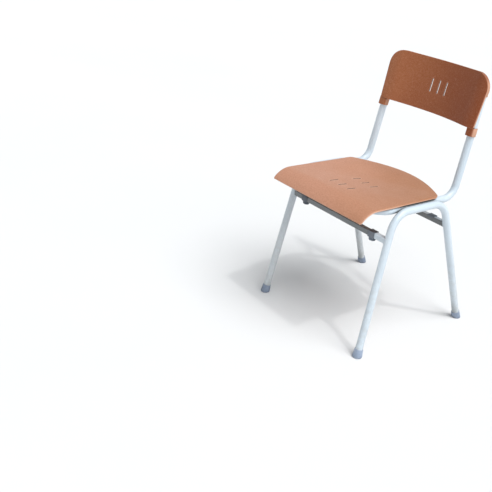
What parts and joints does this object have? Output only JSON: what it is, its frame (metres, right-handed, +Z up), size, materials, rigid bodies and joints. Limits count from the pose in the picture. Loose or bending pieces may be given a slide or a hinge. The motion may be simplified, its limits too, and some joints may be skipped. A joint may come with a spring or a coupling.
{
  "type": "student desk chair",
  "caption": "Four-legged school chair with a bent white tube frame, a brown moulded seat with a curved front lip and a curved slotted backrest on two uprights.",
  "frame": {"origin": "On the floor, under the centre of the chair's outline", "axes": "+Z up; the sitter faces -Y; +X is the sitter's left, the side nearer the camera in the picture"},
  "size_m": [0.4638, 0.5227, 0.7918],
  "materials": {
    "frame": "smooth white powder coat with a slight blue cast, satin",
    "seat": "warm light brown moulded plastic with a fine grain",
    "backrest": "brown moulded plastic with a fine grain",
    "foot": "blue-grey moulded plastic, scuffed at the floor",
    "bumper": "dark slate moulded plastic",
    "fixing": "bright zinc-plated steel"
  },
  "bodies": {
    "root": {"seat_shell": "seat", "back_panel": "backrest", "back_hoop": "frame", "leg_frame_left": "frame", "leg_frame_right": "frame", "crossbar_front": "frame", "crossbar_rear": "frame", "foot_cap_front_left": "foot", "bumper_front_left": "bumper", "seat_tab_front_left": "frame", "seat_screw_front_left": "fixing", "foot_cap_front_right": "foot", "bumper_front_right": "bumper", "seat_tab_front_right": "frame", "seat_screw_front_right": "fixing", "foot_cap_rear_left": "foot", "bumper_rear_left": "bumper", "seat_tab_rear_left": "frame", "seat_screw_rear_left": "fixing", "foot_cap_rear_right": "foot", "bumper_rear_right": "bumper", "seat_tab_rear_right": "frame", "seat_screw_rear_right": "fixing", "back_rivet_left": "fixing", "back_rivet_right": "fixing"}
  },
  "joints": []
}
